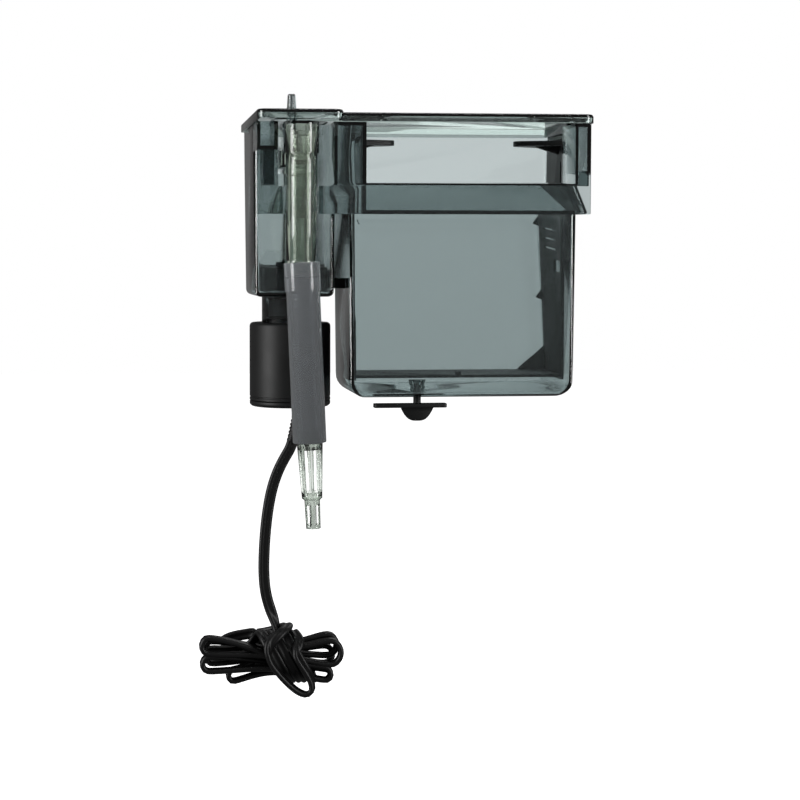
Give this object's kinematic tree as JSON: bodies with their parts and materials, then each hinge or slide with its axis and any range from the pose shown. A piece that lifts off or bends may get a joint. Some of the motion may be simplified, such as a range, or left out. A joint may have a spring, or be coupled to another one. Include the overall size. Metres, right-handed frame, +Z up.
{
  "type": "hang on back filter",
  "caption": "Clear hang-on-back aquarium filter with lid, spout, intake tube with strainer, media carrier, bottom-mounted pump and tied mains cord.",
  "frame": {"origin": "middle of the rim seat, the underside of the spout floor that rests on the tank wall", "axes": "+Z up, +X along the tank wall to the right as seen from inside the tank, +Y away from the tank"},
  "size_m": [0.2445, 0.1375, 0.3906],
  "materials": {
    "smoke_clear": "clear smoke-tinted styrene, injection moulded, glossy",
    "olive_clear": "clear olive-grey moulding, glossy",
    "frosted_smoke": "translucent grey polyethylene, satin",
    "black_moulding": "black moulded ABS, satin",
    "black_rubber": "moulded black rubber",
    "ferrite": "ferrite magnet, matt dark grey",
    "ceramic": "ground white ceramic",
    "core_steel": "stacked electrical steel sheet",
    "enamelled_copper": "enamelled copper winding",
    "cord_pvc": "soft black PVC, semi-gloss",
    "plug_metal": "plated brass"
  },
  "bodies": {
    "box": {"filter_box": "smoke_clear", "rim_hook": "smoke_clear", "lip_strip": "black_rubber", "leg_seal": "black_rubber", "impeller_cover": "black_moulding", "impeller_shaft": "ceramic", "shaft_bush_upper": "black_rubber", "shaft_bush_lower": "black_rubber", "motor_housing": "black_moulding", "motor_base": "black_moulding", "motor_seal": "black_rubber", "stator_core": "core_steel", "stator_coil": "enamelled_copper", "strain_relief": "cord_pvc", "power_cord": "cord_pvc", "cord_hank": "cord_pvc", "plug_body": "cord_pvc", "plug_blade_upper": "plug_metal", "plug_blade_lower": "plug_metal"},
    "lid": {"lid": "smoke_clear"},
    "carrier": {"media_carrier": "black_moulding"},
    "intake": {"intake_elbow": "olive_clear", "intake_tube": "olive_clear"},
    "flow_control": {"flow_stem": "smoke_clear", "flow_vane": "black_moulding"},
    "extension": {"extension_tube": "frosted_smoke"},
    "strainer": {"strainer": "frosted_smoke"},
    "rotor": {"impeller": "black_moulding", "rotor_magnet": "ferrite"},
    "foot": {"leveller": "black_moulding"}
  },
  "joints": [
    {"name": "lid_lift", "type": "slide", "parent": "box", "child": "lid", "axis": [0, 0, 1], "range_m": [0, 0.25]},
    {"name": "carrier_lift", "type": "slide", "parent": "box", "child": "carrier", "axis": [0, 0, 1], "range_m": [0, 0.18]},
    {"name": "intake_lift", "type": "slide", "parent": "box", "child": "intake", "axis": [0, 0, 1], "range_m": [0, 0.1]},
    {"name": "flow_turn", "type": "hinge", "parent": "intake", "child": "flow_control", "pos_m": [-0.0835, -0.015, 0.03], "axis": [0, 0, 1], "range_deg": [-90, 0]},
    {"name": "extension_pull", "type": "slide", "parent": "intake", "child": "extension", "axis": [0.0445, 0, -0.999], "range_m": [0, 0.03]},
    {"name": "strainer_pull", "type": "slide", "parent": "extension", "child": "strainer", "axis": [0.0445, 0, -0.999], "range_m": [0, 0.02]},
    {"name": "impeller_spin", "type": "hinge", "parent": "box", "child": "rotor", "pos_m": [-0.078, 0.048, -0.09], "axis": [0, 0, 1], "continuous": true},
    {"name": "foot_turn", "type": "hinge", "parent": "box", "child": "foot", "pos_m": [0.003, 0.028, -0.13], "axis": [0, 0, 1], "continuous": true}
  ],
  "couplings": [
    {"joint": "carrier_lift", "follows": "lid_lift", "ratio": 0.7},
    {"joint": "intake_lift", "follows": "lid_lift", "ratio": 0.38}
  ]
}
